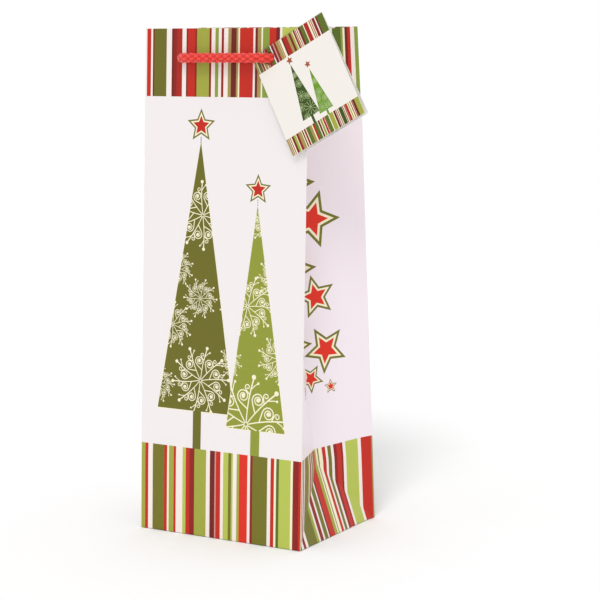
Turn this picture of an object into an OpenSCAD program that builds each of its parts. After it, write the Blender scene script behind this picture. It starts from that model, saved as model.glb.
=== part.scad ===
// A tall paper carrier for one bottle: a single printed sheet folded into a
// front, a back, two pushed-in gussets, a turned-in hem and four bottom flaps,
// with a board in the base, a strip of card behind each side of the mouth, two
// braided cord handles knotted inside, and a folded tag threaded on the front
// handle. Origin at the middle of the base, front towards -Y, up +Z.

/* [Bag] */
// Width of the front and back, edge to edge
bag_w = 132; // [126:1:150]
// Depth of the base, front to back
bag_d = 104; // [98:1:112]
// Depth between the front and the back at the mouth
mouth_d = 64; // [60:1:72]
// Height from the base to the mouth
bag_h = 355; // [340:1:380]
// Thickness of the printed paper
paper = 0.3; // [0.2:0.05:0.35]

/* [Mouth] */
// Height of the paper turned in at the mouth
hem_h = 40; // [34:1:50]
// Thickness of the card strips hidden in the hem
card = 0.8; // [0.5:0.1:1]
// Width of the card strips
card_w = 120; // [110:1:122]
// Distance from the mouth down to the handle holes
hole_drop = 20.5; // [18:0.5:24]
// Distance between the centres of a side's two holes
hole_pitch = 74; // [70:1:76]
// Diameter of the handle holes
hole_d = 8.5; // [8.5:0.1:9.5]

/* [Handles] */
// Diameter of the braided cord
cord_d = 6; // [5:0.5:6]
// Diameter of a knot
knot_d = 13; // [11:0.5:14]

/* [Tag] */
// Width of the tag
tag_w = 62; // [55:1:70]
// Height of the tag
tag_h = 75; // [65:1:85]
// Thickness of each leaf of the tag
leaf = 0.4; // [0.3:0.05:0.5]
// Diameter of the hole punched through both leaves
tag_hole_d = 10; // [10:0.5:11]
// Angle that the tag is turned up from level
tag_tilt = 29; // [0:1:40]
// Angle that the cover springs open from the back leaf
tag_spring = 3; // [2:0.5:4]

/* [Base] */
// Thickness of the loose base board
board = 1; // [0.8:0.1:1.5]
// How far the bottom flaps fold in under the base
flap_reach = 64; // [60:1:64]

/* [Hidden] */

$fn = 48;

half_w = bag_w / 2;
half_d = bag_d / 2;
half_m = mouth_d / 2;
lean = atan((half_d - half_m) / bag_h);     // of the front and back, from upright
seam = 0.02;                                // gap between neighbouring pieces
hem_foot = bag_h - hem_h;                   // height of the hem's lower edge
card_foot = hem_foot + 2;                   // the card stops short of the hem's edge
card_top = bag_h - 1.5;
hole_z = bag_h - hole_drop;
front_hem_w = card_w + 2;
gusset_hem_start = 0.1;                     // part of the gusset's half that its hem leaves free
seam_tab_w = 14;
seam_tab_inset = 1.6;                       // clear of the gusset where the two meet
seam_tab_foot = 3;
flap_edge = paper + 0.1;                    // flaps start this far inside the bag's outline
end_flap_edge = paper + 0.6;                // more at the sides, where the gussets lean in
flap_z = 1.2 * paper;                       // height of one layer of flaps
board_gap = 1.5;                            // between the board and the walls

// The gusset's two halves are as wide as half the base is deep, so its middle
// crease is pushed in further as the front and back lean together.
function depth_at(z) = half_d - (half_d - half_m) * z / bag_h;
function pinch_at(z) = sqrt(half_d * half_d - depth_at(z) * depth_at(z));
// Where the middle crease divides into the two diagonal creases of the foot.
fork_z = half_d / (1 + tan(lean));
fork_pinch = pinch_at(fork_z);

// Points on the outside of the right gusset's front half: on its front edge,
// and on the crease that bounds it, at one height.
function gusset_edge(z) = [half_w, -depth_at(z) + paper + seam, z];
function gusset_crease(z) = z < fork_z
    ? [half_w - fork_pinch * z / fork_z, -half_d + half_d * z / fork_z - seam, z]
    : [half_w - pinch_at(z), -seam, z];
// The inside lies this far towards the middle of the bag, for each paper's thickness.
function skew_at(z) = half_d / depth_at(z);

// Heights of the gusset's rows: close together low down, where it turns most.
GUSSET_ROWS = [1, fork_z / 2, fork_z, 75, 110, 160, 220, 285, bag_h];
HEM_ROWS = [hem_foot, (hem_foot + bag_h) / 2, bag_h - paper];

// The handle's route from the middle of its bar to the knot on the right, in
// the front's own plane: across, up the front, and out from it.
HALF_ROUTE = [
    [13, 0, 6.8], [25.6, 0, 6.8], [30.2, 0, 5.9], [34.1, 0, 3.3], [36.7, 0, -0.6],
    [37.6, 0, -5.2], [37.6, 0, -11], [36.9, -0.5, -15.6], [34.8, -2.1, -19.5],
    [31.7, -4.4, -22.1], [28, -7.2, -23], [25.1, -10.2, -23.2], [23.4, -13.8, -23.4],
    [22.8, -17.6, -23.6], [22.6, -36, -24.6], [22.6, -58, -25.8], [22.6, -84, -27.3]
];
CORD_SIDES = 10;
tag_hole_x = 35.4;          // the tag's hole, and the axis that it swings on
tag_hole_in = 12;           // from the tag's left edge to its hole
tag_hole_down = 6.8;        // from the tag's fold to its hole
tag_gap = 0.3;              // between the tag and the front
fold_gap = 0.2;             // between the leaves at the fold
spine_d = 2 * leaf + fold_gap;
spine_gap = 0.12;           // between the spine and the edge of the cover
reach_in = 30;              // length of the cutters for the handle holes

function unit(v) = v / norm(v);
function reversed(list) = [for (i = [len(list) - 1:-1:0]) list[i]];
function mirrored_x(list) = [for (p = list) [-p[0], p[1], p[2]]];
function tangent(path, i) = unit(path[min(i + 1, len(path) - 1)] - path[max(i - 1, 0)]);
function square_to(v, t) = unit(v - t * (v * t));

// A tube round a path. Each ring's first spoke is carried on from the last ring's.
module tube(path, d, sides) {
    n = len(path);
    start = square_to([0, 1, 0.3], tangent(path, 0));
    spokes = [
        for (i = 0, u = start; i < n; i = i + 1, u = i < n ? square_to(u, tangent(path, i)) : u) u
    ];
    points = [
        for (i = [0:n - 1], k = [0:sides - 1])
            let (u = spokes[i], v = cross(tangent(path, i), u), a = 360 * k / sides)
                path[i] + d / 2 * (cos(a) * u + sin(a) * v)
    ];
    walls = [
        for (i = [0:n - 2], k = [0:sides - 1])
            let (next = (k + 1) % sides)
                [i * sides + k, (i + 1) * sides + k, (i + 1) * sides + next, i * sides + next]
    ];
    ends = [[for (k = [0:sides - 1]) k], [for (k = [sides - 1:-1:0]) (n - 1) * sides + k]];
    polyhedron(points, concat(walls, ends), convexity = 6);
}

// A solid through a stack of sections with the same number of points, listed
// clockwise as seen from above: the inside first and then the outside. The two
// sides' quads are halved along matching diagonals, so a twisted sheet stays thin.
module stacked(sections) {
    n = len(sections[0]);
    top = len(sections) - 1;
    points = [for (s = sections, p = s) p];
    walls = [
        for (i = [0:top - 1], k = [0:n - 1], half = [0, 1])
            let (next = (k + 1) % n, a = i * n + k, b = i * n + next, c = a + n, d = b + n)
                k < n / 2
                    ? (half == 0 ? [a, b, c] : [b, d, c])
                    : (half == 0 ? [a, b, d] : [a, d, c])
    ];
    ends = [[for (k = [n - 1:-1:0]) k], [for (k = [0:n - 1]) top * n + k]];
    polyhedron(points, concat(walls, ends), convexity = 4);
}

// Moves what is drawn flat on XY onto the front's outer face: X across, Y up the
// slope, Z straight out, from the point midway between the handle holes.
module on_front() {
    translate([0, -depth_at(hole_z), hole_z]) rotate([90 - lean, 0, 0]) children();
}

// A flat sheet parallel to the front, starting gap behind its outer face.
module leaning_sheet(w, z0, z1, gap, thick) {
    rotate([90, 0, 90]) translate([0, 0, -w / 2]) linear_extrude(w)
        polygon([
            [-depth_at(z0) + gap, z0], [-depth_at(z0) + gap + thick, z0],
            [-depth_at(z1) + gap + thick, z1], [-depth_at(z1) + gap, z1]
        ]);
}

module handle_holes() {
    on_front() for (x = [-hole_pitch / 2, hole_pitch / 2])
        translate([x, 0, -reach_in / 2]) cylinder(d = hole_d, h = reach_in);
}

module to_back() { mirror([0, 1, 0]) children(); }
module to_left() { mirror([1, 0, 0]) children(); }

module panel() {
    difference() {
        leaning_sheet(bag_w, 0, bag_h, 0, paper);
        handle_holes();
    }
}

module card_strip() {
    difference() {
        leaning_sheet(card_w, card_foot, card_top, paper + seam, card);
        handle_holes();
    }
}

module panel_hem() {
    difference() {
        leaning_sheet(front_hem_w, hem_foot, bag_h - paper, paper + card + 2 * seam, paper);
        handle_holes();
    }
}

// The front half of the right gusset, a strip that twists as it rises.
module gusset_half() {
    stacked([
        for (z = GUSSET_ROWS)
            let (inward = [-paper * skew_at(z), 0, 0], e = gusset_edge(z), c = gusset_crease(z))
                [e, e + inward, c + inward, c]
    ]);
}

// The triangle at the foot of the right gusset, between its diagonal creases.
module gusset_foot() {
    inward = [-paper * skew_at(fork_z), 0, 0];
    side = half_d - paper - 2 * seam;
    top = [half_w - fork_pinch, 0, fork_z - 4 * seam];
    front = [half_w, -side, 0];
    rear = [half_w, side, 0];
    polyhedron(
        [front, rear, top, front + inward, rear + inward, top + inward],
        [[0, 2, 1], [3, 4, 5], [0, 1, 4, 3], [1, 2, 5, 4], [2, 0, 3, 5]]
    );
}

// The hem inside the right gusset, folded with it along the middle crease.
module gusset_hem() {
    stacked([
        for (z = HEM_ROWS)
            let (
                skin = [-(paper + seam) * skew_at(z), 0, 0],
                inward = [-paper * skew_at(z), 0, 0],
                e = gusset_edge(z),
                c = gusset_crease(z) + [0, seam, 0],
                front = e + gusset_hem_start * (c - e) + skin,
                rear = [front[0], -front[1], z]
            )
                [front, front + inward, c + skin + inward, rear + inward, rear, c + skin]
    ]);
}

// A flap that meets the front's lower edge, its ends mitred at 45 degrees.
module long_flap(z) {
    w = half_w - flap_edge;
    d = half_d - flap_edge;
    reach = flap_reach - flap_edge;
    translate([0, 0, z]) linear_extrude(paper)
        polygon([[-w, -d], [w, -d], [w - reach, -d + reach], [-w + reach, -d + reach]]);
}

// A flap that meets the right gusset's lower edge.
module end_flap(z) {
    reach = flap_reach - end_flap_edge;
    translate([half_w - flap_reach, -half_d + flap_edge, z])
        cube([reach, bag_d - 2 * flap_edge, paper]);
}

module front_panel() { color("ghostwhite") panel(); }
module back_panel() { color("ghostwhite") to_back() panel(); }
module right_gusset_front() { color("lavender") gusset_half(); }
module right_gusset_rear() { color("lavender") to_back() gusset_half(); }
module right_gusset_foot() { color("olivedrab") gusset_foot(); }
module left_gusset_front() { color("lavender") to_left() gusset_half(); }
module left_gusset_rear() { color("lavender") to_left() to_back() gusset_half(); }
module left_gusset_foot() { color("olivedrab") to_left() gusset_foot(); }
module front_hem() { color("indianred") panel_hem(); }
module back_hem() { color("indianred") to_back() panel_hem(); }
module right_hem() { color("indianred") gusset_hem(); }
module left_hem() { color("indianred") to_left() gusset_hem(); }
module front_card_strip() { color("silver") card_strip(); }
module back_card_strip() { color("silver") to_back() card_strip(); }

module side_seam_tab() {
    left = -half_w + seam_tab_inset;
    color("white") to_back() translate([left + seam_tab_w / 2, 0, 0])
        leaning_sheet(seam_tab_w, seam_tab_foot, hem_foot - 1, paper + seam, paper);
}

module front_bottom_flap() { color("olivedrab") long_flap(0); }
module back_bottom_flap() { color("olivedrab") to_back() long_flap(flap_z); }
module right_bottom_flap() { color("white") end_flap(2 * flap_z); }
module left_bottom_flap() { color("white") to_left() end_flap(2 * flap_z); }

module base_board() {
    w = bag_w - 2 * board_gap;
    d = bag_d - 2 * board_gap;
    color("lightgray") translate([-w / 2, -d / 2, 3 * flap_z]) cube([w, d, board]);
}

module handle_cord() {
    color("orangered") on_front()
        tube(concat(reversed(mirrored_x(HALF_ROUTE)), HALF_ROUTE), cord_d, CORD_SIDES);
}

// The knot under each end of the cord, with the cord's tail hanging from it.
module handle_knots() {
    end = HALF_ROUTE[len(HALF_ROUTE) - 1];
    tail = 7;
    color("red") on_front() for (side = [-1, 1])
        translate([side * end[0], end[1], end[2]]) rotate([90 + lean, 0, 0])
            difference() {
                union() {
                    translate([0, 0, knot_d / 2 - 1]) sphere(d = knot_d);
                    cylinder(d = cord_d, h = knot_d + tail - 1);
                }
                translate([-knot_d, -knot_d, -knot_d + seam]) cube([2 * knot_d, 2 * knot_d, knot_d]);
            }
}

module front_handle_cord() { handle_cord(); }
module front_handle_knots() { handle_knots(); }
module back_handle_cord() { to_back() handle_cord(); }
module back_handle_knots() { to_back() handle_knots(); }

// One leaf of the tag, hanging from the fold along its top edge, whose middle
// is at the origin. Its top edge is this far below the fold.
module tag_leaf(top) {
    translate([0, 0, -leaf / 2]) difference() {
        translate([0, -tag_h, 0]) cube([tag_w, tag_h - top, leaf]);
        translate([tag_hole_in, -tag_hole_down, -1]) cylinder(d = tag_hole_d, h = leaf + 2);
    }
}

// Turns the tag about its hole, with the middle of its fold's spine at the origin.
module on_tag() {
    on_front() translate([tag_hole_x, 0, tag_gap + spine_d / 2]) rotate([0, 0, tag_tilt])
        translate([-tag_hole_in, tag_hole_down, 0]) children();
}

// The back leaf, with the rounded spine that the cover turns about.
module tag_back() {
    color("linen") on_tag() union() {
        translate([0, 0, (leaf - spine_d) / 2]) tag_leaf(0);
        rotate([0, 90, 0]) cylinder(d = spine_d, h = tag_w);
    }
}

module tag_cover() {
    color("seashell") on_tag() rotate([-tag_spring, 0, 0])
        translate([0, 0, (spine_d - leaf) / 2]) tag_leaf(spine_d / 2 + spine_gap);
}

front_panel();
back_panel();
right_gusset_front();
right_gusset_rear();
right_gusset_foot();
left_gusset_front();
left_gusset_rear();
left_gusset_foot();
front_hem();
back_hem();
right_hem();
left_hem();
front_card_strip();
back_card_strip();
side_seam_tab();
front_bottom_flap();
back_bottom_flap();
right_bottom_flap();
left_bottom_flap();
base_board();
front_handle_cord();
front_handle_knots();
back_handle_cord();
back_handle_knots();
tag_back();
tag_cover();
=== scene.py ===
"""Looks of the wine gift bag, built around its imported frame.

Every length is in millimetres until a mesh is made. Z is up and the front faces -y.
The bag is one folded sheet. A point of it is (g, v): g runs round the girth from the middle of
the front, and v runs up the paper from the bottom fold. Below v = 0 the paper folds under.
"""

import math

import bpy
import numpy as np
from mathutils import Matrix, Vector
from mathutils.geometry import delaunay_2d_cdt


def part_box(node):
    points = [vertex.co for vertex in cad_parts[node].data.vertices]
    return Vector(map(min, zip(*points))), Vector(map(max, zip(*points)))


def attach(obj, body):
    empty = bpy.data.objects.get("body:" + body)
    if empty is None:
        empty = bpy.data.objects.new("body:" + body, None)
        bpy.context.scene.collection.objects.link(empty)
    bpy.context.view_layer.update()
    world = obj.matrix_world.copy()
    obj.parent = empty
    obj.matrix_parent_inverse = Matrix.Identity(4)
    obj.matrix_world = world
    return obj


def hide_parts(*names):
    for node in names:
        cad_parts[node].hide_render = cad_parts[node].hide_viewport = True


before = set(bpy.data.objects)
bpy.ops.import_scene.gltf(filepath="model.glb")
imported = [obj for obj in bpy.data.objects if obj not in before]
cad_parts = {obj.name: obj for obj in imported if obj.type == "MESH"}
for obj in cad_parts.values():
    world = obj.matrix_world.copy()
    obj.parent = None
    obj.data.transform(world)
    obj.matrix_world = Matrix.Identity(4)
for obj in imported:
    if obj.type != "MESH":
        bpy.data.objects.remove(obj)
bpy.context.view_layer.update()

# ---------------------------------------------------------------- the bag's sizes
panel_low, panel_high = [corner * 1000 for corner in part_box("front_panel")]
HALF_W = panel_high.x
HALF_D = -panel_low.y
BAG_H = panel_high.z
HALF_MOUTH = 32.0
PAPER = 0.3
LEAN = math.atan2(HALF_D - HALF_MOUTH, BAG_H)
SIN, COS = math.sin(LEAN), math.cos(LEAN)
TOP_V = BAG_H / COS
GIRTH = 4 * (HALF_W + HALF_D)
REAR_EDGE = HALF_W + 2 * HALF_D
RIGHT_CREASE = HALF_W + HALF_D
BACK_MIDDLE = GIRTH / 2
LEFT_CREASE = RIGHT_CREASE + BACK_MIDDLE
CREASE_V = 52.0
HEM = 40.0
HEM_ARC = 2.2
HOLE_X = 36.75
HOLE_Z = 334.5
HOLE_Y = -33.155
HOLE_V = HOLE_Z / COS
HOLE_D = 7.2
HEM_HOLE_D = 10.0
HOLE_SIDES = 40
FLAP = 64.0
BAND_V = 62.0 / COS
TOP_BAND_V = 308.0 / COS
PAST_MOUTH_V = TOP_V + 60
TAG_W, TAG_H, LEAF = 62.0, 75.0, 0.4

# ---------------------------------------------------------------- colours, as sRGB 0-255
FILM_SHINE = 0.03
STUDIO_LIGHT = 1.03
INKS = {
    "white": (244, 238, 238),
    # A lighter, pinker copy of the white paper for the gussets: painted light that lifts the sides, which
    # take less light than the front.
    "side_white": (248, 238, 244),
    "warm": (249, 237, 231),
    "cream": (250, 243, 212),
    "tree_lime": (150, 158, 69),
    "lime": (166, 172, 77),
    "pale_lime": (187, 200, 95),
    "green": (143, 163, 76),
    "olive": (124, 121, 54),
    "tree_olive": (116, 113, 53),
    "dark_olive": (100, 116, 54),
    "tan": (170, 152, 92),
    "bright_red": (226, 62, 50),
    "red": (200, 58, 48),
    "dull_red": (176, 56, 50),
    "dark_red": (148, 52, 46),
    "maroon": (120, 52, 43),
    "tag_white": (244, 239, 232),
    "tag_dark": (72, 90, 46),
    "tag_green": (114, 158, 54),
    "tag_star": (168, 92, 62),
    "tag_flake": (178, 196, 142),
    "pink": (214, 150, 142),
}


def linear(rgb):
    """An sRGB colour as the shader's linear one."""
    parts = [c / 255 for c in rgb]
    return tuple(c / 12.92 if c <= 0.04045 else ((c + 0.055) / 1.055) ** 2.4 for c in parts)


def under_film(rgb):
    """An ink's own colour, linear, without the studio's brightness and the film's shine."""
    return tuple(max(c - FILM_SHINE, 0.0) / STUDIO_LIGHT for c in linear(rgb))


# ---------------------------------------------------------------- materials
def node(tree, kind, **inputs):
    """A new node with some of its inputs set or linked."""
    made = tree.nodes.new(kind)
    for name, value in inputs.items():
        socket = made.inputs[name.replace("_", " ")]
        if isinstance(value, bpy.types.NodeSocket):
            tree.links.new(value, socket)
        else:
            socket.default_value = value
    return made


def new_material(name, rgb):
    """A material with one Principled shader, and that shader."""
    material = bpy.data.materials.new(name)
    material.use_nodes = True
    shader = material.node_tree.nodes["Principled BSDF"]
    shader.inputs["Base Color"].default_value = (*linear(rgb), 1)
    return material, shader


def grain(tree, scale, detail=3.0, coords="Object"):
    """Noise in the piece's own coordinates."""
    place = tree.nodes.new("ShaderNodeTexCoord")
    return node(tree, "ShaderNodeTexNoise", Vector=place.outputs[coords], Scale=scale, Detail=detail)


def ranged(tree, value, low, high):
    """A 0.3-0.7 value spread over low-high."""
    made = node(tree, "ShaderNodeMapRange", Value=value)
    for name, number in zip(("From Min", "From Max", "To Min", "To Max"), (0.3, 0.7, low, high)):
        made.inputs[name].default_value = number
    return made.outputs["Result"]


def bumped(tree, shader, height, strength, distance):
    """Height drives the shader's normal."""
    made = node(tree, "ShaderNodeBump", Height=height, Strength=strength, Distance=distance)
    tree.links.new(made.outputs["Normal"], shader.inputs["Normal"])


def laminated(name, rgb):
    """Printed paper under a satin film: faint fibre shows through, and the gloss varies a little."""
    material, shader = new_material(name, rgb)
    shader.inputs["Base Color"].default_value = (*under_film(rgb), 1)
    tree = material.node_tree
    broad = grain(tree, 28.0, 2.0)
    fibre = grain(tree, 1500.0, 4.0)
    rough = ranged(tree, broad.outputs["Fac"], 0.34, 0.44)
    tree.links.new(rough, shader.inputs["Roughness"])
    bumped(tree, shader, fibre.outputs["Fac"], 0.10, 0.00006)
    shader.inputs["Specular IOR Level"].default_value = 0.3
    shader.inputs["Coat Weight"].default_value = 0.08
    shader.inputs["Coat Roughness"].default_value = 0.25
    return material


def uncoated(name, rgb, dark, speck=900.0):
    """Bare paper or board: matt, with fibres a little darker than the ground."""
    material, shader = new_material(name, rgb)
    tree = material.node_tree
    fibre = grain(tree, speck, 5.0)
    broad = grain(tree, 60.0, 3.0)
    mixed = node(tree, "ShaderNodeMath", Value=fibre.outputs["Fac"])
    tree.links.new(broad.outputs["Fac"], mixed.inputs[1])
    mixed.operation = "MULTIPLY"
    ramp = tree.nodes.new("ShaderNodeValToRGB")
    ramp.color_ramp.elements[0].position = 0.12
    ramp.color_ramp.elements[0].color = (*linear(dark), 1)
    ramp.color_ramp.elements[1].position = 0.30
    ramp.color_ramp.elements[1].color = (*linear(rgb), 1)
    tree.links.new(mixed.outputs["Value"], ramp.inputs["Fac"])
    tree.links.new(ramp.outputs["Color"], shader.inputs["Base Color"])
    rough = ranged(tree, broad.outputs["Fac"], 0.78, 0.92)
    tree.links.new(rough, shader.inputs["Roughness"])
    bumped(tree, shader, fibre.outputs["Fac"], 0.25, 0.00015)
    shader.inputs["Specular IOR Level"].default_value = 0.25
    return material


def braided():
    """Soft red braid with yarn fibres along each strand and a fuzzy edge; painted shade darkens the gaps and
    a painted highlight lightens the strands' crowns.
    """
    material, shader = new_material("red_braid", (228, 56, 48))
    tree = material.node_tree
    place = tree.nodes.new("ShaderNodeTexCoord")
    fibre = node(tree, "ShaderNodeTexNoise", Vector=place.outputs["UV"], Scale=9.0, Detail=4.0)
    fuzz = grain(tree, 2600.0, 3.0)
    # The braid's relief drives painted shade in the gaps between strands and a painted highlight on their
    # crowns; the fibre noise adds real colour variation.
    relief = tree.nodes.new("ShaderNodeAttribute")
    relief.attribute_name = "relief"
    lit = node(tree, "ShaderNodeMath", Value=relief.outputs["Fac"])
    lit.operation = "MULTIPLY_ADD"
    lit.inputs[1].default_value = 0.7
    tree.links.new(ranged(tree, fibre.outputs["Fac"], 0.0, 0.3), lit.inputs[2])
    # Dark red is painted shade in the gaps and light red is a painted highlight on the crowns.
    ramp = tree.nodes.new("ShaderNodeValToRGB")
    ramp.color_ramp.elements[0].position = 0.30
    ramp.color_ramp.elements[0].color = (*linear((196, 34, 32)), 1)
    ramp.color_ramp.elements[1].position = 0.85
    ramp.color_ramp.elements[1].color = (*linear((250, 76, 64)), 1)
    tree.links.new(lit.outputs["Value"], ramp.inputs["Fac"])
    tree.links.new(ramp.outputs["Color"], shader.inputs["Base Color"])
    rough = ranged(tree, fuzz.outputs["Fac"], 0.62, 0.8)
    tree.links.new(rough, shader.inputs["Roughness"])
    bumped(tree, shader, fuzz.outputs["Fac"], 0.5, 0.0002)
    shader.inputs["Sheen Weight"].default_value = 0.35
    shader.inputs["Sheen Roughness"].default_value = 0.4
    shader.inputs["Specular IOR Level"].default_value = 0.3
    return material


PAINT = {ink: laminated(ink, rgb) for ink, rgb in INKS.items()}
PAINT["bare"] = uncoated("bare_paper", (240, 238, 233), (222, 218, 210))
PAINT["board"] = uncoated("grey_board", (168, 162, 152), (128, 120, 110), 700.0)
BRAID = braided()

# ---------------------------------------------------------------- the folded sheet
FORK_Z = CREASE_V / (1 + math.tan(LEAN))


def crease_line():
    """The gusset's middle crease above its fork: how far in it runs and how high, along v.

    The paper doesn't stretch, so the crease stays 52 mm from the bag's edge and keeps its length."""
    v = np.arange(CREASE_V, PAST_MOUTH_V, 1.0)
    pinch, height = [], [FORK_Z]
    slope = 0.16
    for step in v:
        if step > CREASE_V:
            height.append(height[-1] + math.sqrt(1 - slope**2))
        edge_y, edge_z = HALF_D - step * SIN, step * COS
        pinch.append(math.sqrt(HALF_D**2 - edge_y**2 - (edge_z - height[-1]) ** 2))
        slope = pinch[-1] - pinch[-2] if len(pinch) > 1 else slope
    return v, np.array(pinch), np.array(height)


CREASE = crease_line()
TENT = 0.5
WAVE = 0.35
WAVE_FADE = 60.0


def front_paper(u, v):
    """The front panel, leaning back, with a slight tent along the fold line above the base."""
    up = np.maximum(v, 0)
    tent = TENT * np.clip(1 - np.abs(up - CREASE_V) / CREASE_V, 0, 1)
    calm = np.clip((255 - up) / WAVE_FADE, 0, 1) * np.clip((up - 70) / WAVE_FADE, 0, 1)
    wave = WAVE * calm * np.sin(up / 41 + u / 55) * np.cos(u / HALF_W * 1.4)
    y = -(HALF_D - up * SIN) - np.minimum(v, 0) - tent - wave
    return np.stack([u, y, up * COS], -1)


def gusset_paper(s, v):
    """The right gusset: s from its middle crease, negative towards the front."""
    t, side, up = np.abs(s), np.sign(s), np.maximum(v, 0)
    share = t / HALF_D
    edge_y, edge_z = HALF_D - up * SIN, up * COS
    pinch, height = np.interp(up, CREASE[0], CREASE[1]), np.interp(up, CREASE[0], CREASE[2])
    ruled = np.stack([HALF_W - (1 - share) * pinch, side * share * edge_y,
                      height + share * (edge_z - height)], -1)
    corner = np.stack([0 * s + HALF_W, side * HALF_D, 0 * s], -1)
    edge = np.stack([0 * s + HALF_W, side * (HALF_D - CREASE_V * SIN), 0 * s + CREASE_V * COS], -1)
    fork = np.array([HALF_W - CREASE[1][0], 0, FORK_Z])
    rise = (up / CREASE_V)[:, None]
    inward = ((HALF_D - t) / CREASE_V)[:, None]
    lower = corner + rise * (edge - corner) + inward * (fork - edge)
    foot = np.stack([HALF_W - CREASE[1][0] / CREASE_V * up + np.minimum(v, 0), s,
                     FORK_Z / CREASE_V * up], -1)
    point = np.where((up < CREASE_V)[:, None], lower, ruled)
    return np.where((up <= CREASE_V - t)[:, None], foot, point)


def near_corner(past):
    """1 at a corner, falling to 0 over 5 mm of the panel and 15 mm of the gusset."""
    return np.clip(1 - np.abs(past) / np.where(past < 0, 15, 5), 0, 1) ** 2


def corner_swell(g, v):
    """How far the two corners where the sheet was creased last stand out sideways."""
    right = np.interp(v, (0, 100, 200, 288, 310, 355), (1.7, 2.0, 2.2, 2.7, 1.8, 1.2))
    past_left = np.where(g > GIRTH / 2, g - GIRTH, g) + HALF_W
    return right * near_corner(g - REAR_EDGE) - 2.1 * near_corner(past_left)


def sheet_point(g, v):
    """A point of the folded sheet. The back half is the front half turned round."""
    g = (g + HALF_W) % GIRTH - HALF_W
    behind = g >= REAR_EDGE
    swell = corner_swell(g, v)
    g = g - np.where(behind, BACK_MIDDLE, 0)
    flat, side = front_paper(g, v), gusset_paper(g - RIGHT_CREASE, v)
    point = np.where((g < HALF_W)[:, None], flat, side)
    point[:, :2] *= np.where(behind, -1, 1)[:, None]
    point[:, 0] += swell
    return point


ROUNDING = [(-0.8, 0.12), (-0.4, 0.23), (0.0, 0.30), (0.4, 0.23), (0.8, 0.12)]


def bag_sheet(g, v):
    """The folded sheet with its creases rounded to about a millimetre."""
    total = 0
    for dg, wg in ROUNDING:
        for dv, wv in ROUNDING:
            total = total + wg * wv * sheet_point(g + dg, v + dv)
    return total


def slopes(place, x, y, h=0.2):
    """The surface's unit normal, and its unit direction along y."""
    along = place(x + h, y) - place(x - h, y)
    up = place(x, y + h) - place(x, y - h)
    normal = np.cross(along, up)
    return (normal / np.linalg.norm(normal, axis=1, keepdims=True),
            up / np.linalg.norm(up, axis=1, keepdims=True))


def behind_sheet(depth):
    """The folded sheet moved inwards by depth."""
    def place(g, v):
        """A point of the moved sheet."""
        return bag_sheet(g, v) - depth * slopes(bag_sheet, g, v)[0]
    return place


def hem_depth(g):
    """How far the turned-in hem lies behind the outside: over the card, pinched at the corners."""
    g = (g + HALF_W) % BACK_MIDDLE - HALF_W
    to_edge = HALF_W - np.abs(g)
    panel = np.interp(to_edge, (0, 2, 5), (0.36, 0.55, 1.46))
    gusset = np.interp(-to_edge, (0, 2, 4), (0.36, 0.5, 0.65))
    gusset = np.where(g > REAR_EDGE - 4, np.interp(REAR_EDGE - g, (0, 2, 4), (0.36, 0.5, 0.65)), gusset)
    return np.where(to_edge >= 0, panel, gusset)


def hem_place(g, q):
    """The hem: q below 0 rolls over the mouth, and above 0 hangs inside it."""
    r = hem_depth(g) / 2
    angle = np.pi * (1 + np.clip(q, -HEM_ARC, 0) / HEM_ARC)
    v = TOP_V - r - np.maximum(q, 0)
    normal, up = slopes(bag_sheet, g, v)
    return bag_sheet(g, v) + (r * np.sin(angle))[:, None] * up - (r * (1 - np.cos(angle)))[:, None] * normal


def raised(place, lift):
    """A surface lifted by lift(x, y)."""
    def higher(x, y):
        """A point of the lifted surface."""
        point = place(x, y)
        point[:, 2] += lift(x, y)
        return point
    return higher


# ---------------------------------------------------------------- flat shapes
def circle(x, y, r, n=10):
    """A loop of n points round (x, y)."""
    a = np.arange(n) * 2 * np.pi / n
    return np.stack([x + r * np.cos(a), y + r * np.sin(a)], -1)


def rectangle(x0, y0, x1, y1):
    """An upright box as a loop."""
    return np.array([(x0, y0), (x1, y0), (x1, y1), (x0, y1)], float)


def star(x, y, r, point=90.0, waist=0.47):
    """A five-pointed star with one tip at the angle point, in degrees."""
    a = np.radians(point) + np.arange(10) * np.pi / 5
    radius = np.where(np.arange(10) % 2 == 0, r, r * waist)
    return np.stack([x + radius * np.cos(a), y + radius * np.sin(a)], -1)


def ribbon(path, start, end):
    """A stroke along path, its width running from start to end."""
    path = np.asarray(path, float)
    along = np.gradient(path, axis=0)
    along /= np.linalg.norm(along, axis=1, keepdims=True)
    across = np.stack([-along[:, 1], along[:, 0]], -1)
    half = np.linspace(start, end, len(path))[:, None] / 2
    return np.concatenate([path + across * half, (path - across * half)[::-1]])


def volute(start, centre, radius, turns, n):
    """A stroke that leaves start and winds in round centre."""
    start, centre = np.array(start), np.array(centre)
    away = start - centre
    t = np.linspace(0, 1, n)
    angle = math.atan2(away[1], away[0]) - 0.9 - turns * 2 * np.pi * t
    size = radius * (1 - 0.66 * t)
    spiral = centre + np.stack([size * np.cos(angle), size * np.sin(angle)], -1)
    return np.concatenate([[start, start * 0.45 + spiral[0] * 0.55], spiral])


def flake_arm(stroke):
    """One arm of a flake of radius 1 that points along +x: a stem, two curls, a twig and dots."""
    t = np.linspace(0, 1, 5)
    stem = np.stack([0.03 + 0.87 * t, 0.03 * np.sin(t * np.pi)], -1)
    big = volute((0.3, 0.02), (0.53, 0.165), 0.14, 1.6, 20)
    small = volute((0.58, 0.02), (0.72, 0.1), 0.065, 1.1, 10)
    twig = [(0.7, 0.01), (0.78, -0.05), (0.83, -0.1)]
    loops = [ribbon(stem, stroke * 0.7, stroke), ribbon(big, stroke * 0.85, stroke * 0.7),
             ribbon(small, stroke * 0.75, stroke * 0.7), ribbon(twig, stroke * 0.7, stroke * 0.6)]
    loops += [circle(0.94, 0.0, 0.05, 9), circle(0.845, -0.12, 0.028, 7), circle(0.53, 0.165, 0.045, 8)]
    return loops


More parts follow.
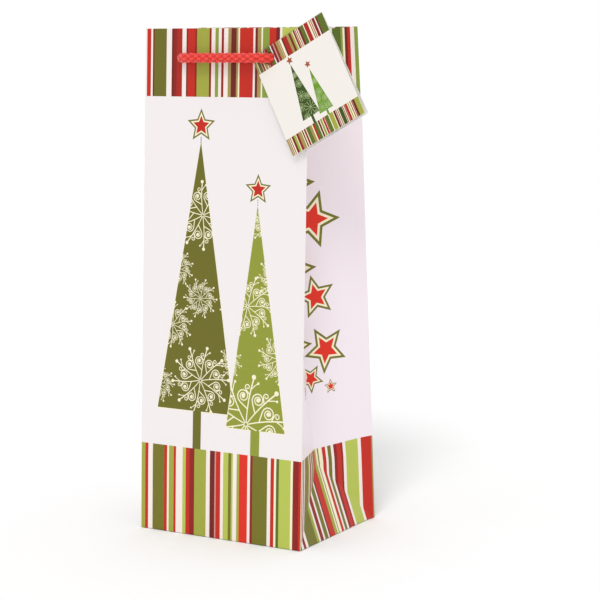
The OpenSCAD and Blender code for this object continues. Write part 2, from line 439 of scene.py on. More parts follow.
def flake(x, y, r, turn=0.0, arms=10, stroke=0.031):
    """A filigree snowflake, as loops."""
    loops = []
    for k in range(arms):
        a = math.radians(turn) + 2 * math.pi * k / arms
        spin = np.array([[math.cos(a), math.sin(a)], [-math.sin(a), math.cos(a)]])
        loops += [loop @ spin * r + (x, y) for loop in flake_arm(stroke)]
    return loops


def grown(loop, by):
    """A convex loop moved outwards by a distance."""
    out = []
    count = len(loop)
    for i in range(count):
        a, b, c = loop[i - 1], loop[i], loop[(i + 1) % count]
        d1, d2 = (b - a) / np.linalg.norm(b - a), (c - b) / np.linalg.norm(c - b)
        n1, n2 = np.array([d1[1], -d1[0]]), np.array([d2[1], -d2[0]])
        middle = (n1 + n2) / (1 + n1 @ n2)
        out.append(b + by * middle)
    return np.array(out)


HATCH_STEP = 1.3
HATCH_LINE = 0.65


def stripes(text, start, low, high):
    """Upright stripes. text lists each ink with its right edge, and hatch is fine red lines."""
    shapes, left = [], start
    for part in text.split(","):
        ink, right = part.split()
        right = float(right)
        if ink == "hatch":
            shapes.append(("cream", rectangle(left, low, right, high), None))
            lines = np.arange(left + 0.3, right - 0.5, HATCH_STEP)
            shapes += [("dark_red", rectangle(x, low, x + HATCH_LINE, high), None) for x in lines]
        else:
            shapes.append((ink, rectangle(left, low, right, high), None))
        left = right
    return shapes


# ---------------------------------------------------------------- the print
FRONT_FOOT = (
    "cream -65.5, lime -63.4, red -61.3, warm -57.4, olive -47.5, red -45, cream -43.4, lime -39.3,"
    "red -37.4, warm -31.7, pale_lime -29, red -25.7, dark_red -21.7, lime -11.8, warm -8.6,"
    "maroon -4.6, pink -3.5, red 0.2, warm 2.6, pale_lime 6.8, olive 9.2, pale_lime 10.6, warm 13.8,"
    "lime 15.8, bright_red 22.6, warm 24.8, dark_red 26.8, olive 38.8, warm 41.5, red 44.3,"
    "cream 46, dark_olive 48.2, pale_lime 57.6, cream 59.4, dark_red 64, red 66"
)
FRONT_TOP = (
    "warm -64.9, red -62.6, warm -61.2, maroon -60, tree_olive -49.6, warm -45.2, maroon -43.5,"
    "dark_red -41, dull_red -36.4, warm -33, maroon -31.9, red -25.6, dark_red -24.2, lime -13.9,"
    "dark_red -12.2, warm -9, green -6.3, warm -3.9, dark_red -2, warm 1.5, tan 4, maroon 8.2,"
    "tan 9.7, cream 10.9, red 21.8, warm 23.4, maroon 25.3, tan 28.2, cream 29.4, green 34.6, red 40,"
    "maroon 42.9, warm 44.7, pale_lime 56.5, cream 58, dark_red 62, red 64.5, warm 66"
)
SIDE_FOOT = (
    "cream 1, olive 3.2, warm 6, dark_red 9, warm 12, olive 24, lime 27, warm 29, dark_red 33,"
    "warm 35, olive 39.5, warm 41, maroon 42.5, red 49, lime 52.5, cream 54, olive 55, cream 58.3,"
    "red 61.4, warm 63.4, olive 66.5, warm 68.9, dark_red 71.7, red 75.7, dark_red 77.4, warm 80,"
    "pale_lime 91.4, warm 94.3, red 102.6, tan 104"
)
SIDE_TOP = (
    "cream 1, dark_red 5, warm 7, lime 15, red 18, cream 19.5, olive 30, warm 33, maroon 35,"
    "red 42, warm 44, pale_lime 50, olive 53, cream 55, dark_red 59, warm 62, lime 72, red 75,"
    "cream 77, green 80, warm 82, red 84.5, cream 86.5, dark_olive 92.4, green 93.8, cream 95.1,"
    "maroon 96.8, red 98.8, warm 101.3, green 104"
)
TAG_TOP = (
    "tan 1.6, cream 2.2, dark_olive 4.4, pink 5.2, maroon 6.4, cream 7, tan 9, cream 9.6, maroon 10.4,"
    "pink 11, dark_red 13, dark_olive 15.8, white 16.6, maroon 18.4, pink 19.4, dark_red 21, tan 23.6,"
    "hatch 25.6, cream 26.2, maroon 27.4, dull_red 30.6, tan 32.6, maroon 34.2, lime 35.8, cream 36.4,"
    "dark_red 37.8, hatch 41.2, maroon 42.4, dark_olive 45.2, cream 45.8, dull_red 49, cream 50,"
    "hatch 53.4, dark_red 55, white 55.8, maroon 57, dark_olive 62"
)
TAG_FOOT = (
    "tan 1.4, hatch 4.6, maroon 6.2, lime 8, cream 8.6, dark_red 10.4, tan 13, cream 13.6,"
    "maroon 14.6, hatch 15.4, dark_red 16.8, cream 17.4, dark_olive 20.2, tan 22.2, cream 23, dull_red 24.4,"
    "dark_olive 27, cream 27.6, maroon 29, cream 29.6, green 31, cream 31.6, dull_red 33, hatch 34,"
    "dark_olive 36.6, cream 37.2, lime 40.4, cream 41, maroon 42.6, hatch 45.4, tag_dark 48.2, hatch 50.6,"
    "dull_red 52.4, cream 53, lime 53.8, cream 54.4, hatch 56.8, maroon 58.6, lime 62"
)
BACKWARDS = -1


def moved(shapes, g, turned=1):
    """Shapes drawn about 0, placed on the sheet at g, and mirrored if turned is -1."""
    scale = np.array([turned, 1.0])
    out = []
    for ink, loop, within in shapes:
        loops = [None if a is None else a * scale + (g, 0) for a in (loop, within)]
        out.append((ink, *loops))
    return out


def outlined_star(x, z, r, point, line, gap="white", heart="red"):
    """A star with an outline, a gap and a filled heart."""
    return [(line, star(x, z, r, point), None), (gap, star(x, z, r * 0.78, point), None),
            (heart, star(x, z, r * 0.58, point), None)]


RIM = 0.55
RIM_PAST_APEX = 0.9


def tree(apex, left, right, trunk, ink, flakes):
    """A tall triangular tree with a cream rim, a trunk, and flakes cut off at its edge."""
    body = np.array([left, right, apex], float)
    rim = grown(body, RIM)
    rim[2] = body[2] + (0, RIM_PAST_APEX)
    shapes = [("cream", rim, None), (ink, body, None)]
    shapes.append((ink, rectangle(trunk[0], BAND_V, trunk[1], left[1] + 0.5), None))
    for x, z, r, turn in flakes:
        shapes += [("cream", loop, body) for loop in flake(x, z, r, turn)]
    return shapes


DARK_FLAKES = [(-17.7, 110.8, 25, 5), (-17.6, 226.5, 25, 20), (-18.9, 168.5, 14.5, 0),
               (-41.6, 148.8, 17, 12), (-53, 106, 14, 0), (-38.5, 189, 14, 15), (9.5, 166, 13, 20),
               (12, 126, 15, 8)]
LIME_FLAKES = [(20.6, 83.5, 36, 8), (20.2, 165.5, 22, 0), (46.5, 130.5, 18, 18), (36, 224, 16, 10),
               (4, 126, 13, 25), (44, 186, 17, 0)]


def front_foot():
    """The front's lower stripes, which run on under the base."""
    return stripes(FRONT_FOOT, -HALF_W, -FLAP - 2, BAND_V)


def side_foot():
    """A gusset's lower stripes, about its crease."""
    return moved(stripes(SIDE_FOOT, 0, -FLAP - 2, BAND_V), -HALF_D)


def front_art():
    """The front: stripes at head and foot, two trees, and a star over each."""
    shapes = front_foot() + stripes(FRONT_TOP, -HALF_W, TOP_BAND_V, PAST_MOUTH_V)
    shapes += tree((-19.8, 277.6), (-53.8, 88.8), (10.3, 88.8), (-23.5, -16.7), "tree_olive", DARK_FLAKES)
    shapes += tree((27.4, 235.3), (4.3, 79.8), (52, 79.8), (24.5, 31.8), "tree_lime", LIME_FLAKES)
    shapes.append(("tree_olive", rectangle(-20.1, 274, -19.5, 281), None))
    shapes += [("tree_olive", circle(27.4, z, 0.45, 6), None) for z in (235.6, 237.2, 238.8)]
    shapes += outlined_star(-19.8, 288.6, 12, 90, "olive", "cream")
    shapes += outlined_star(27.5, 246, 10.8, 90, "olive", "cream")
    return shapes


SIDE_STARS = [(-5, 250.4, 22.6, 0), (13.4, 224.1, 21.3, -2), (-5, 190.5, 20, 0), (12.6, 169.3, 16.1, 28),
              (-9, 136.7, 16.3, 0), (17.7, 131, 17.9, -99), (3.7, 112, 10.8, -92), (19.6, 104, 5.5, 90),
              (-27, 222, 15, 55), (-26, 160, 12, 20), (-22, 106, 8, 80)]


def side_art():
    """A gusset, drawn about its crease: stripes at head and foot, and a fall of stars."""
    shapes = side_foot() + moved(stripes(SIDE_TOP, 0, TOP_BAND_V, PAST_MOUTH_V), -HALF_D)
    for x, z, r, point in SIDE_STARS:
        shapes += outlined_star(x, z, r, point, "olive", "cream", "bright_red")
    return shapes


TAG_TOP_END = -13.2
TAG_FOOT_START = -62.9
TAG_TREES = (
    ("tag_dark", [(17.6, -57.7), (32.1, -57.7), (25.2, -18.6)], (24.5, 26.5),
     [(27, -52, 4.8, 0), (23.6, -42, 3.5, 10), (20.2, -49, 3, 0), (25.5, -33.5, 2.6, 0),
      (21.8, -57, 2.4, 5), (28.4, -44, 2.4, 8), (24.8, -27, 1.8, 0), (30.4, -57.8, 2.2, 20)]),
    ("tag_green", [(31.4, -59.7), (42.8, -59.7), (37.1, -28.4)], (36.7, 38.3),
     [(35.2, -56.5, 3.5, 0), (40.4, -57, 2.7, 0), (37, -46, 2.6, 10), (34.4, -50, 2.1, 0),
      (39.6, -51.5, 2.2, 6), (37.2, -38, 1.9, 0)]),
)


def burst(x, y, r, turn, body):
    """A small flake of ten plain rays with a dot between each two, cut off at body's edge."""
    tenths = np.arange(10) * 36
    ends = [(x + r * math.cos(a), y + r * math.sin(a)) for a in np.radians(turn + tenths)]
    dots = [(x + r * math.cos(a), y + r * math.sin(a)) for a in np.radians(turn + 18 + tenths)]
    loops = [ribbon([(x, y), end], 0.15, 0.45) for end in ends]
    loops += [circle(*dot, 0.25, 6) for dot in dots]
    return [("tag_flake", loop, body) for loop in loops]


def tag_art():
    """The tag's cover: two bands, two small trees and two plain stars. y runs down from the fold."""
    shapes = stripes(TAG_TOP, 0, TAG_TOP_END, 1) + stripes(TAG_FOOT, 0, -TAG_H - 1, TAG_FOOT_START)
    for ink, corners, trunk, flakes in TAG_TREES:
        body = np.array(corners, float)
        shapes.append((ink, body, None))
        shapes.append((ink, rectangle(trunk[0], TAG_FOOT_START - 0.2, trunk[1], corners[0][1] + 0.3), None))
        for x, y, r, turn in flakes:
            shapes += burst(x, y, r, turn, body)
    shapes.append(("tag_star", star(25.8, -16.3, 2.8, 95), None))
    shapes.append(("tag_star", star(37.2, -25.3, 2.6, 95), None))
    return shapes


# ---------------------------------------------------------------- sheets
def inside(points, loop):
    """Which points a loop winds round."""
    x, y = points.T
    turns = np.zeros(len(points), int)
    for (x0, y0), (x1, y1) in zip(loop, np.roll(loop, -1, 0)):
        left = (x1 - x0) * (y - y0) - (x - x0) * (y1 - y0)
        turns += (y0 <= y) & (y1 > y) & (left > 0)
        turns -= (y1 <= y) & (y0 > y) & (left < 0)
    return turns != 0


def inside_box(points, loop):
    """The indices of the points inside a loop, looked for in its box only."""
    near = np.flatnonzero(((points >= loop.min(0)) & (points <= loop.max(0))).all(1))
    return near[inside(points[near], loop)]


def clear_of(loop, low, high):
    """Whether a loop lies wholly outside a box."""
    return (loop.max(0) < low).any() or (loop.min(0) > high).any()


def cut_sheet(outline, holes, shapes, guides):
    """Triangles that follow a sheet's outline, its holes, the guide lines and every printed edge."""
    points, edges = [], []
    for loop in [outline, *holes] + [loop for _, loop, _ in shapes]:
        first = len(points)
        points += [Vector(p) for p in loop.tolist()]
        edges += [(first + i, first + (i + 1) % len(loop)) for i in range(len(loop))]
    for a, b in guides:
        edges.append((len(points), len(points) + 1))
        points += [Vector(a), Vector(b)]
    found = delaunay_2d_cdt(points, edges, [], 0, 1e-3, False)
    flat = np.array([tuple(p) for p in found[0]])
    triangles = np.array([f for f in found[2] if len(f) == 3])
    centres = flat[triangles].mean(1)
    keep = np.zeros(len(triangles), bool)
    keep[inside_box(centres, outline)] = True
    for hole in holes:
        keep[inside_box(centres, hole)] = False
    return flat, triangles[keep]


def ink_of(flat, triangles, shapes, ground):
    """The ink on each triangle: the last shape that covers it."""
    centres = flat[triangles].mean(1)
    inks = np.full(len(triangles), ground, dtype=object)
    for ink, loop, within in shapes:
        hit = inside_box(centres, loop)
        if within is not None:
            hit = np.intersect1d(hit, inside_box(centres, within))
        inks[hit] = ink
    return inks


def rim_of(triangles):
    """The edges that only one triangle uses, in its direction."""
    sides = np.concatenate([triangles[:, [0, 1]], triangles[:, [1, 2]], triangles[:, [2, 0]]])
    seen = {tuple(s) for s in sides.tolist()}
    return [(a, b) for a, b in seen if (b, a) not in seen]


def paper_piece(name, place, outline, holes=(), shapes=(), guides=(), ground="white", back="bare",
                thick=PAPER):
    """A sheet with a printed face, a bare face and a cut edge, laid on the surface place(x, y)."""
    low, high = outline.min(0), outline.max(0)
    shapes = [s for s in shapes if not clear_of(s[1], low, high)]
    flat, triangles = cut_sheet(outline, list(holes), shapes, guides)
    inks = ink_of(flat, triangles, shapes, ground)
    used = np.unique(triangles)
    renumber = np.zeros(len(flat), int)
    renumber[used] = np.arange(len(used))
    flat, triangles = flat[used], renumber[triangles]
    outer = place(flat[:, 0], flat[:, 1])
    normals = slopes(place, flat[:, 0], flat[:, 1])[0]
    inner = outer - thick * normals
    count = len(flat)
    rim = [(b, a, a + count, b + count) for a, b in rim_of(triangles)]
    faces = triangles.tolist() + (triangles[:, ::-1] + count).tolist() + rim
    names = sorted(set(inks)) + [back]
    numbers = [names.index(i) for i in inks] + [len(names) - 1] * (len(triangles) + len(rim))
    points = np.concatenate([outer, inner])
    both = np.concatenate([normals, -normals])
    corner_normals = both[np.array(faces[: 2 * len(triangles)]).ravel()].tolist()
    for a, b, c, d in rim:
        square = np.cross(points[b] - points[a], points[d] - points[a])
        corner_normals += [(square / max(np.linalg.norm(square), 1e-9)).tolist()] * 4
    return mesh_piece(name, points, faces, [PAINT[n] for n in names], numbers, corner_normals)


def mesh_piece(name, points, faces, materials, numbers=None, corner_normals=None):
    """A mesh object from points in millimetres."""
    mesh = bpy.data.meshes.new(name)
    mesh.from_pydata((np.asarray(points) / 1000).tolist(), [], faces)
    for material in materials:
        mesh.materials.append(material)
    if numbers is not None:
        mesh.polygons.foreach_set("material_index", numbers)
    mesh.polygons.foreach_set("use_smooth", [True] * len(mesh.polygons))
    if corner_normals is not None:
        mesh.normals_split_custom_set(corner_normals)
    mesh.update()
    piece = bpy.data.objects.new(name, mesh)
    bpy.context.scene.collection.objects.link(piece)
    return piece


def settle(piece, body, slot, *nodes):
    """Put a piece on its body and let it stand for its CAD nodes, which are hidden. slot is not used."""
    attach(piece, body)
    if nodes:
        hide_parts(*nodes)
    return piece


# ---------------------------------------------------------------- guide lines
CREASE_ROWS = (-1.0, -0.65, -0.3, 0.0, 0.3, 0.65, 1.0)


def crossing(a, b, reach=0.0):
    """A crease from a to b, as a bundle of lines close together."""
    a, b = np.array(a, float), np.array(b, float)
    along = (b - a) / np.linalg.norm(b - a)
    across = np.array([-along[1], along[0]])
    a, b = a - along * reach, b + along * reach
    return [((a + across * o).tolist(), (b + across * o).tolist()) for o in CREASE_ROWS]


def grid(low, high, step_x, step_y):
    """Even guide lines over a box."""
    xs = np.linspace(low[0], high[0], max(2, round((high[0] - low[0]) / step_x) + 1))
    ys = np.linspace(low[1], high[1], max(2, round((high[1] - low[1]) / step_y) + 1))
    lines = [((x, low[1]), (x, high[1])) for x in xs[1:-1]]
    return lines + [((low[0], y), (high[0], y)) for y in ys[1:-1]]


def mouth_line(g0, g1):
    """The panel's upper edge, where the hem starts to roll, from g1 back to g0."""
    offsets = np.array([0, 1, 2, 3.5, 5])
    inner = np.linspace(g0 + 5, g1 - 5, 12)[1:-1]
    g = np.concatenate([g0 + offsets, inner, g1 - offsets[::-1]])[::-1]
    return np.stack([g, TOP_V - hem_depth(np.clip(g, g0 + 1e-6, g1 - 1e-6)) / 2], -1)


def wall(g0, g1):
    """The outline of one side of the bag, from the bottom fold to the mouth."""
    return np.concatenate([[(g0, 0), (g1, 0)], mouth_line(g0, g1)])


def wall_guides(g0, g1):
    """Guide lines over a panel, with bundles along its creases."""
    lines = grid((g0 - 1, -1), (g1 + 1, TOP_V + 1), 11, 12)
    for g in (g0, g1):
        lines += crossing((g, -1), (g, TOP_V + 1))
    return lines + crossing((g0 - 1, 0), (g1 + 1, 0)) + crossing((g0 - 1, CREASE_V), (g1 + 1, CREASE_V))


# ---------------------------------------------------------------- the bag's pieces
def panels():
    """The front and the back. They carry the same print."""
    for name, g in (("front", 0.0), ("back", BACK_MIDDLE)):
        holes = [circle(g + side * HOLE_X, HOLE_V, HOLE_D / 2, HOLE_SIDES) for side in (-1, 1)]
        piece = paper_piece(f"{name}_panel_paper", bag_sheet, wall(g - HALF_W, g + HALF_W), holes,
                            moved(front_art(), g), wall_guides(g - HALF_W, g + HALF_W))
        settle(piece, "bag", "printed_paper", f"{name}_panel")


def gussets():
    """The two pushed-in sides. The left one is the right one's mirror image."""
    for name, g, turned in (("right", RIGHT_CREASE, 1), ("left", LEFT_CREASE, BACKWARDS)):
        g0, g1 = g - HALF_D, g + HALF_D
        lines = grid((g0 - 1, -1), (g1 + 1, TOP_V + 1), 7, 9) + crossing((g, CREASE_V - 2), (g, TOP_V + 1))
        for edge in (g0, g1):
            lines += crossing((edge, -1), (edge, TOP_V + 1)) + crossing((edge, 0), (g, CREASE_V), 1)
        lines += crossing((g0 - 1, 0), (g1 + 1, 0)) + crossing((g0 - 1, CREASE_V), (g1 + 1, CREASE_V))
        # The gussets' ground is the lighter copy of the white paper: painted light, since the sides take
        # less light.
        piece = paper_piece(f"{name}_gusset_paper", bag_sheet, wall(g0, g1), (),
                            moved(side_art(), g, turned), lines, "side_white")
        nodes = [f"{name}_gusset_{part}" for part in ("front", "rear", "foot")]
        settle(piece, "bag", "gusset_paper", *nodes)


def hems():
    """The mouth's edge, rolled over and glued down inside."""
    walls = (("front", 0.0, HALF_W, 1), ("back", BACK_MIDDLE, HALF_W, 1),
             ("right", RIGHT_CREASE, HALF_D, 1), ("left", LEFT_CREASE, HALF_D, BACKWARDS))
    for name, g, half, turned in walls:
        flat = half == HALF_W
        text, start = (FRONT_TOP, -HALF_W) if flat else (SIDE_TOP, 0)
        art = moved(stripes(text, start, -5, HEM + 10), 0 if flat else -HALF_D)
        hang = TOP_V - 0.72 - HOLE_V
        sides = (-1, 1) if flat else ()
        holes = [circle(g + side * HOLE_X, hang, HEM_HOLE_D / 2, HOLE_SIDES) for side in sides]
        lines = grid((g - half - 1, -3), (g + half + 1, HEM + 1), 9, 9)
        lines += [((g - half - 1, -HEM_ARC * k / 8), (g + half + 1, -HEM_ARC * k / 8)) for k in range(9)]
        for edge in (g - half, g + half):
            lines += crossing((edge, -3), (edge, HEM + 1))
            lines += [((edge + s * 3.5, -3), (edge + s * 3.5, HEM + 1)) for s in (-1, 1)]
        if not flat:
            lines += crossing((g, -3), (g, HEM + 1))
        outline = rectangle(g - half, -HEM_ARC, g + half, HEM)
        piece = paper_piece(f"{name}_hem_paper", hem_place, outline, holes, moved(art, g, turned), lines)
        settle(piece, "bag", "hem_paper", f"{name}_hem")


def long_lift(_, v):
    """How far the back's flap is raised, where it passes over the front's."""
    return 0.36 * np.clip((-v - 38) / 4, 0, 1)


def end_lift(_, v):
    """How far the end flaps are raised, over both long ones."""
    return 0.05 + 0.68 * np.clip((-v - 0.5) / 3, 0, 1)


def bottom_flaps():
    """The four flaps folded under and glued, each over the one before."""
    for name, g, lift in (("front", 0.0, None), ("back", BACK_MIDDLE, long_lift)):
        outline = np.array([(g - 66 + FLAP, -FLAP), (g + 66 - FLAP, -FLAP), (g + 65.6, -0.4), (g + 66, 0),
                            (g - 66, 0), (g - 65.6, -0.4)])
        place = raised(bag_sheet, lift) if lift else bag_sheet
        lines = grid((g - 67, -FLAP - 1), (g + 67, 1), 11, 8) + crossing((g - 67, 0), (g + 67, 0))
        piece = paper_piece(f"{name}_flap_paper", place, outline, (), moved(front_foot(), g), lines)
        settle(piece, "bag", "base_paper", f"{name}_bottom_flap")
    for name, g, turned in (("right", RIGHT_CREASE, 1), ("left", LEFT_CREASE, BACKWARDS)):
        outline = np.array([(g - 48, -FLAP), (g + 48, -FLAP), (g + 51.2, -58), (g + 51.2, -1), (g + 52, 0),
                            (g - 52, 0), (g - 51.2, -1), (g - 51.2, -58)])
        lines = grid((g - 53, -FLAP - 1), (g + 53, 1), 11, 8) + crossing((g - 53, 0), (g + 53, 0))
        piece = paper_piece(f"{name}_flap_paper", raised(bag_sheet, end_lift), outline, (),
                            moved(side_foot(), g, turned), lines)
        settle(piece, "bag", "base_paper", f"{name}_bottom_flap")


def seam_tab():
    """The glue lap that closes the sheet into a tube, inside the back at its left edge."""
    g0, g1 = BACK_MIDDLE + 50.4, BACK_MIDDLE + 65.2
    outline = np.array([(g0 + 2, 3), (g1, 3), (g1, 314), (g0 + 2, 314), (g0, 309), (g0, 8)], float)
    lines = grid((g0 - 1, 2), (g1 + 1, 315), 8, 12)
    piece = paper_piece("seam_tab_paper", behind_sheet(0.33), outline, (), (), lines, "white", "bare")
    settle(piece, "bag", "bare_paper", "side_seam_tab")


def rounded(x0, y0, x1, y1, r):
    """A rectangle with rounded corners."""
    loop = []
    for x, y, start in ((x1 - r, y1 - r, 0), (x0 + r, y1 - r, 90), (x0 + r, y0 + r, 180),
                        (x1 - r, y0 + r, 270)):
        for a in np.radians(start + np.linspace(0, 90, 7)):
            loop.append((x + r * math.cos(a), y + r * math.sin(a)))
    return np.array(loop)


def boards():
    """The loose board on the bottom, and the two card strips inside the hem."""
    low, high = [corner * 1000 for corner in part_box("base_board")]

    def top(x, y):
        """The board's upper face."""
        return np.stack([x, y, 0 * x + high.z], -1)

    outline = rounded(low.x, low.y, high.x, high.y, 3.0)
    piece = paper_piece("base_board_card", top, outline, (), (), grid(low[:2], high[:2], 20, 20), "board",
                        "board", high.z - low.z)
    settle(piece, "bag", "grey_board", "base_board")
    for name in ("front_card_strip", "back_card_strip"):
        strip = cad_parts[name]
        strip.data.materials.clear()
        strip.data.materials.append(PAINT["board"])


# ---------------------------------------------------------------- the tag
TAG_TILT = math.radians(29)
TAG_SPRING = math.radians(3)
TAG_HOLE = (12.0, -6.8)
TAG_HOLE_R = 4.5
TAG_CORNER = (21.608, 0.13, 0.8)
SPINE_R = 0.5
FOLD_ARC = 1.5
FOLD_GAP = 0.08
COVER_BOW = 0.5


def on_front(x, up, out):
    """Points given across, up and out from the front's row of holes, in the bag's frame."""
    y = HOLE_Y + up * SIN - out * COS
    return np.stack([x + 0 * up, y + 0 * x, HOLE_Z + up * COS + out * SIN + 0 * x], -1)


def tag_point(a, b, out):
    """A point a along the tag's fold, b up from it, and out from the fold's own line."""
    x = TAG_CORNER[0] + a * math.cos(TAG_TILT) - b * math.sin(TAG_TILT)
    up = TAG_CORNER[1] + a * math.sin(TAG_TILT) + b * math.cos(TAG_TILT)
    return on_front(x, up, TAG_CORNER[2] + out)


def cover_place(a, b):
    """The cover springs open a little, and bows."""
    bow = COVER_BOW * np.sin(np.clip(a / TAG_W, 0, 1) * np.pi) * (b / TAG_H) ** 2
    out = SPINE_R + bow
    return tag_point(a, b * math.cos(TAG_SPRING) + out * math.sin(TAG_SPRING),
                     out * math.cos(TAG_SPRING) - b * math.sin(TAG_SPRING))


def back_leaf_place(a, q):
    """The fold's roll, where q is below 0, and then the leaf that lies on the bag."""
    share = 1 + np.clip(q, -FOLD_ARC, 0) / FOLD_ARC
    angle = TAG_SPRING + (np.pi - TAG_SPRING) * share
    return tag_point(a, SPINE_R * np.sin(angle) - np.maximum(q, 0), SPINE_R * np.cos(angle))


def tag():
    """A folded card. Its cover is printed, and both leaves have the cord's hole."""
    outline = rectangle(0, -TAG_H, TAG_W, -FOLD_GAP)
    hole = circle(TAG_HOLE[0], TAG_HOLE[1], TAG_HOLE_R, HOLE_SIDES)
    cover = paper_piece("tag_cover_card", cover_place, outline, [hole], tag_art(),
                        grid((0, -TAG_H), (TAG_W, 0), 8, 8), "tag_white", "bare", LEAF)
    settle(cover, "cover", "tag_card", "tag_cover")
    outline = rectangle(0, -FOLD_ARC, TAG_W, TAG_H)
    hole = circle(TAG_HOLE[0], -TAG_HOLE[1], TAG_HOLE_R, HOLE_SIDES)
    lines = grid((0, -2), (TAG_W, TAG_H), 8, 8) + [((0, -k / 6), (TAG_W, -k / 6)) for k in range(10)]
    back = paper_piece("tag_back_card", back_leaf_place, outline, [hole],
                       stripes(TAG_TOP, 0, -3, 12.8), lines, "tag_white", "bare", LEAF)
    settle(back, "tag", "tag_card", "tag_back")


# ---------------------------------------------------------------- cords
CORD_D = 6.0
HALF_ROUTE = [
    (13, 0, 6.8), (25.6, 0, 6.8), (30.2, 0, 5.9), (34.1, 0, 3.3), (36.7, 0, -0.6), (37.6, 0, -5.2),
    (37.6, 0, -11), (36.9, -0.5, -15.6), (34.8, -2.1, -19.5), (31.7, -4.4, -22.1), (28, -7.2, -23),
    (25.1, -10.2, -23.2), (23.4, -13.8, -23.4), (22.8, -17.6, -23.6), (22.6, -36, -24.6),
    (22.6, -58, -25.8), (22.6, -84, -27.3),
]
STRANDS = 5
BRAID_PITCH = 6.0
BRAID_RELIEF = 1.0


def curve_through(points, spacing):
    """An even polyline on the smooth curve through some points."""
    p = np.asarray(points, float)
    p = np.concatenate([[2 * p[0] - p[1]], p, [2 * p[-1] - p[-2]]])
    t = np.linspace(0, 1, 24, endpoint=False)[:, None]
    parts = []
    for a, b, c, d in zip(p, p[1:], p[2:], p[3:]):
        parts.append(0.5 * (2 * b + (c - a) * t + (2 * a - 5 * b + 4 * c - d) * t**2
                            + (3 * b - a - 3 * c + d) * t**3))
    line = np.concatenate(parts + [p[-2:-1]])
    steps = np.concatenate([[0], np.cumsum(np.linalg.norm(np.diff(line, axis=0), axis=1))])
    even = np.linspace(0, steps[-1], int(steps[-1] / spacing) + 1)
    return np.stack([np.interp(even, steps, line[:, i]) for i in range(3)], -1)


def frames_along(path):
    """A pair of directions square to the path at each point, carried along without twist."""
    tangent = np.gradient(path, axis=0)
    tangent /= np.linalg.norm(tangent, axis=1, keepdims=True)
    side = np.cross(tangent[0], (0.0, 0.3, 1.0))
    sides = []
    for direction in tangent:
        side = side - direction * (side @ direction)
        side = side / np.linalg.norm(side)
        sides.append(side)
    sides = np.array(sides)
    return sides, np.cross(tangent, sides)


def braid_height(angle, along):
    """The relief of a plain braid: two sets of strands, each over and under the other."""
    u = STRANDS * angle / (2 * np.pi) + along / BRAID_PITCH
    w = STRANDS * angle / (2 * np.pi) - along / BRAID_PITCH
    across_u, across_w = np.abs(np.sin(np.pi * u)), np.abs(np.sin(np.pi * w))
    over = (np.floor(u) + np.floor(w)) % 2 < 1
    return np.where(over, across_u**0.5 * (0.55 + 0.45 * across_w), across_w**0.5 * (0.55 + 0.45 * across_u))


def braid_tube(path, diameter, sides=48):
    """Points, faces, texture places and relief of a braided tube, rounded off at its ends."""
    left, up = frames_along(path)
    along = np.concatenate([[0], np.cumsum(np.linalg.norm(np.diff(path, axis=0), axis=1))])
    angle = np.arange(sides) * 2 * np.pi / sides
    relief = braid_height(angle[None], along[:, None])
    radius = diameter / 2 + BRAID_RELIEF * (relief - 0.5)
    to_end = np.minimum(along, along[-1] - along)
    radius = radius * np.sqrt(np.clip(1 - (1 - np.clip(to_end / 1.6, 0, 1)) ** 2, 0.02, 1))[:, None]
    ring = np.cos(angle)[None, :, None] * left[:, None] + np.sin(angle)[None, :, None] * up[:, None]
    points = (path[:, None] + radius[..., None] * ring).reshape(-1, 3)
    row, column = np.meshgrid(np.arange(len(path) - 1), np.arange(sides), indexing="ij")
    beside = (column + 1) % sides
    quads = np.stack([row * sides + column, row * sides + beside, (row + 1) * sides + beside,
                      (row + 1) * sides + column], -1).reshape(-1, 4)
    ends = [list(range(sides))[::-1], list(range(len(points) - sides, len(points)))]
    places = np.stack([np.tile(angle, len(path)) * 0.9, np.repeat(along, sides) / 3], -1)
    return points, quads.tolist() + ends, places, relief.ravel()


def braid_piece(name, tubes):
    """One mesh of several braided tubes."""
    points, faces, places, heights = [], [], [], []
    for p, f, uv, relief in tubes:
        faces += [[i + len(points) for i in face] for face in f]
        points += p.tolist()
        places += uv.tolist()
        heights += relief.tolist()
    piece = mesh_piece(name, points, faces, [BRAID])
    piece.data.attributes.new("relief", "FLOAT", "POINT").data.foreach_set("value", heights)
    layer = piece.data.uv_layers.new(name="braid")
    corners = [0] * len(piece.data.loops)
    piece.data.loops.foreach_get("vertex_index", corners)
    layer.data.foreach_set("uv", np.array(places)[corners].ravel())
    return piece


def knot_tubes(end):
    """A stopper knot under a cord's end: two turns round the cord, and its cut tail."""
    x, y, z = end
    core = curve_through([(x, y, z + 1), (x, y, z - 7), (x, y, z - 14), (x + 0.6, y, z - 20)], 0.7)
    t = np.linspace(0, 1, 90)
    turn = t * 2 * np.pi * 2.1
    reach = 4.6 * np.sin(np.clip(t * 6, 0, np.pi / 2)) * np.sin(np.clip((1 - t) * 6, 0, np.pi / 2))
    wrap = np.stack([x + reach * np.cos(turn), y + reach * np.sin(turn), z - 12.6 + 9.6 * t], -1)
    return [braid_tube(core, 5.0, 32), braid_tube(curve_through(wrap[::6], 0.7), 5.0, 32)]


def handles():
    """A handle of cord through the front's two holes, and its mirror image at the back."""
    left_first = [(-x, up, out) for x, up, out in HALF_ROUTE[::-1]] + HALF_ROUTE
    for name, turned in (("front", 1), ("back", -1)):
        world = on_front(*np.array(left_first, float).T) * (1, turned, 1)
        path = curve_through(world, 0.5)
        cord = braid_piece(f"{name}_handle_braid", [braid_tube(path, CORD_D)])
        settle(cord, f"{name}_handle", "red_cord", f"{name}_handle_cord")
        tubes = [tube for end in (path[0], path[-1]) for tube in knot_tubes(end)]
        knots = braid_piece(f"{name}_handle_stoppers", tubes)
        settle(knots, f"{name}_handle", "red_cord", f"{name}_handle_knots")


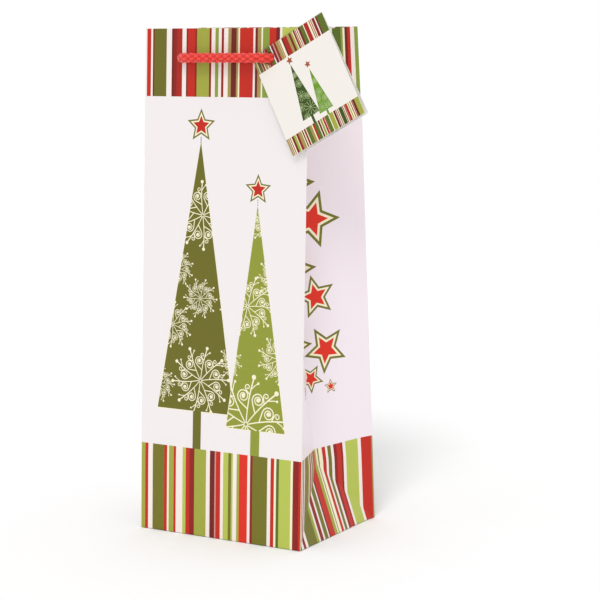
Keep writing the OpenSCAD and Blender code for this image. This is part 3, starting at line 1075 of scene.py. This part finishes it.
# ---------------------------------------------------------------- camera, light and floor
CAMERA_PLACE = (0.7244, -1.1451, 0.362)
CAMERA_YAW = math.radians(-30.98)
CAMERA_PITCH = -0.1463
CAMERA_ROLL = math.radians(-0.63)
CAMERA_LENS = 115.3


def camera():
    """The photograph's viewpoint: about 32 degrees round to the right, and near the bag's top."""
    yaw, pitch, roll = CAMERA_YAW, CAMERA_PITCH, CAMERA_ROLL
    forward = Vector((math.sin(yaw) * math.cos(pitch), math.cos(yaw) * math.cos(pitch), math.sin(pitch)))
    right = Vector((math.cos(yaw), -math.sin(yaw), 0))
    up = right.cross(forward)
    across = math.cos(roll) * right + math.sin(roll) * up
    above = -math.sin(roll) * right + math.cos(roll) * up
    data = bpy.data.cameras.new("camera")
    data.sensor_width = 36
    data.lens = CAMERA_LENS
    data.clip_start, data.clip_end = 0.01, 50
    view = bpy.data.objects.new("camera", data)
    turn = Matrix((across, above, -forward)).transposed()
    view.matrix_world = Matrix.Translation(CAMERA_PLACE) @ turn.to_4x4()
    bpy.context.scene.collection.objects.link(view)
    bpy.context.scene.camera = view


KEY_DIRECTION = Vector((-0.3, 0.82, -1.0))
KEY_SPREAD = math.radians(18)
KEY_ENERGY = 0.6
FLOOR_KEY_ENERGY = 1.0
AMBIENT = 0.9
FLOOR_REACH = 3000.0
FLOOR_Z = -0.3


def sun(name, energy):
    """A broad soft light from beside the camera."""
    data = bpy.data.lights.new(name, "SUN")
    data.energy = energy
    data.angle = KEY_SPREAD
    lamp = bpy.data.objects.new(name, data)
    lamp.rotation_euler = KEY_DIRECTION.to_track_quat("-Z", "Y").to_euler()
    bpy.context.scene.collection.objects.link(lamp)
    return lamp


def studio():
    """White all round. The backdrop that the camera sees is a little brighter than the light."""
    world = bpy.data.worlds.new("studio")
    world.use_nodes = True
    tree = world.node_tree
    path = tree.nodes.new("ShaderNodeLightPath")
    strength = tree.nodes.new("ShaderNodeMapRange")
    tree.links.new(path.outputs["Is Camera Ray"], strength.inputs["Value"])
    strength.inputs["To Min"].default_value = AMBIENT
    tree.nodes["Background"].inputs["Color"].default_value = (1, 1, 1, 1)
    tree.links.new(strength.outputs["Result"], tree.nodes["Background"].inputs["Strength"])
    bpy.context.scene.world = world
    bpy.context.scene.view_settings.view_transform = "Standard"


def floor_and_light():
    """A pale floor, a soft key, and a second key that only the floor takes."""
    material, shader = new_material("floor", (231, 231, 231))
    tree = material.node_tree
    rough = ranged(tree, grain(tree, 40.0).outputs["Fac"], 0.85, 0.95)
    tree.links.new(rough, shader.inputs["Roughness"])
    shader.inputs["Specular IOR Level"].default_value = 0.1
    corners = rectangle(-FLOOR_REACH, -FLOOR_REACH, FLOOR_REACH, FLOOR_REACH)
    floor = mesh_piece("floor", [(x, y, FLOOR_Z) for x, y in corners], [(0, 1, 2, 3)], [material])
    sun("key", KEY_ENERGY)
    floor_key = sun("floor_key", FLOOR_KEY_ENERGY)
    lit = bpy.data.collections.new("lit_by_floor_key")
    lit.objects.link(floor)
    floor_key.light_linking.receiver_collection = lit


camera()
studio()
floor_and_light()
handles()
panels()
gussets()
hems()
bottom_flaps()
seam_tab()
boards()
tag()
